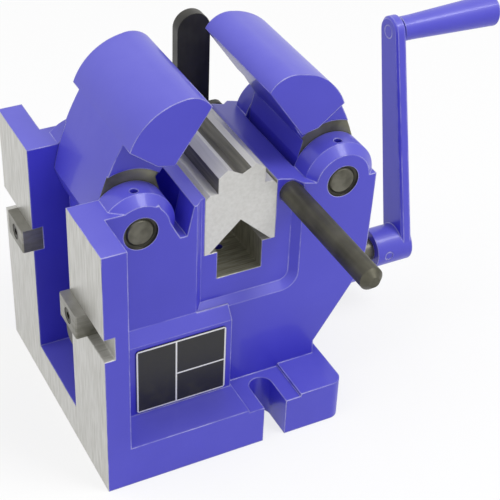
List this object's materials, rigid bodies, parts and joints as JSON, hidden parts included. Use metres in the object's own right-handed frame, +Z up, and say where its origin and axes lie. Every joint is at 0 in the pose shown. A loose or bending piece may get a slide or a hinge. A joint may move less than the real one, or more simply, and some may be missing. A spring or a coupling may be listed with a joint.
{
  "type": "self-centering shaft vise",
  "caption": "Vise with two curved jaws that close evenly on a shaft lying on a V-block, driven by a crank.",
  "frame": {"origin": "on the underside, below the middle of the V-block", "axes": "+X along the cross screw to the crank, +Y to the back, +Z up"},
  "size_m": [0.349, 0.2375, 0.2458],
  "materials": {
    "blue_paint": "glossy blue enamel with ground faces",
    "jaw_paint": "glossy blue enamel outside, ground steel inside",
    "crank_paint": "glossy blue enamel",
    "ground_steel": "ground",
    "dark_steel": "oiled, turned",
    "screw_steel": "blackened",
    "black_steel": "satin black",
    "bronze": "turned bronze",
    "iron": "machined",
    "plate": "black plate with white lines"
  },
  "bodies": {
    "frame": {"body_casting": "blue_paint", "v_block": "ground_steel", "left_pivot_pin": "dark_steel", "right_pivot_pin": "dark_steel", "left_pin_lock_screw": "screw_steel", "right_pin_lock_screw": "screw_steel", "centre_bearing_base": "iron", "centre_bearing_cap": "iron", "bearing_cap_screws": "screw_steel", "screw_bush": "bronze", "front_tenon": "dark_steel", "back_tenon": "dark_steel", "tenon_screws": "screw_steel", "name_plate": "plate"},
    "screw": {"cross_screw": "dark_steel", "crank_arm": "crank_paint", "crank_pin": "screw_steel", "grip_spindle": "screw_steel"},
    "grip": {"crank_grip": "crank_paint"},
    "left_nut": {"left_nut": "bronze"},
    "right_nut": {"right_nut": "bronze"},
    "left_jaw": {"left_jaw": "jaw_paint"},
    "right_jaw": {"right_jaw": "jaw_paint"},
    "stop_rod": {"stop_rod": "black_steel"},
    "stop_arm": {"stop_arm": "black_steel", "stop_arm_screw": "screw_steel"}
  },
  "joints": [
    {"name": "screw_turn", "type": "hinge", "parent": "frame", "child": "screw", "pos_m": [0, 0, 0.06], "axis": [1, 0, 0], "range_deg": [-1650, 870]},
    {"name": "grip_turn", "type": "hinge", "parent": "screw", "child": "grip", "pos_m": [0.159, 0.03307, 0.21297], "axis": [1, 0, 0], "continuous": true},
    {"name": "left_nut_slide", "type": "slide", "parent": "frame", "child": "left_nut", "axis": [1, 0, 0], "range_m": [-0.02295, 0.0121]},
    {"name": "right_nut_slide", "type": "slide", "parent": "frame", "child": "right_nut", "axis": [1, 0, 0], "range_m": [-0.0121, 0.02295]},
    {"name": "left_jaw_swing", "type": "hinge", "parent": "frame", "child": "left_jaw", "pos_m": [-0.0685, 0, 0.1675], "axis": [0, 1, 0], "range_deg": [-6.2, 11.6]},
    {"name": "right_jaw_swing", "type": "hinge", "parent": "frame", "child": "right_jaw", "pos_m": [0.0685, 0, 0.1675], "axis": [0, 1, 0], "range_deg": [-11.6, 6.2]},
    {"name": "stop_slide", "type": "slide", "parent": "frame", "child": "stop_rod", "axis": [0, 1, 0], "range_m": [-0.002, 0.08]},
    {"name": "stop_swing", "type": "hinge", "parent": "stop_rod", "child": "stop_arm", "pos_m": [0.034, 0.0588, 0.1665], "axis": [0, 1, 0], "continuous": true}
  ],
  "couplings": [
    {"joint": "left_nut_slide", "follows": "screw_turn", "m_per_rad": 0.00079577},
    {"joint": "right_nut_slide", "follows": "screw_turn", "m_per_rad": -0.00079577},
    {"joint": "left_jaw_swing", "follows": "screw_turn", "ratio": -0.00698},
    {"joint": "right_jaw_swing", "follows": "screw_turn", "ratio": 0.00698}
  ]
}
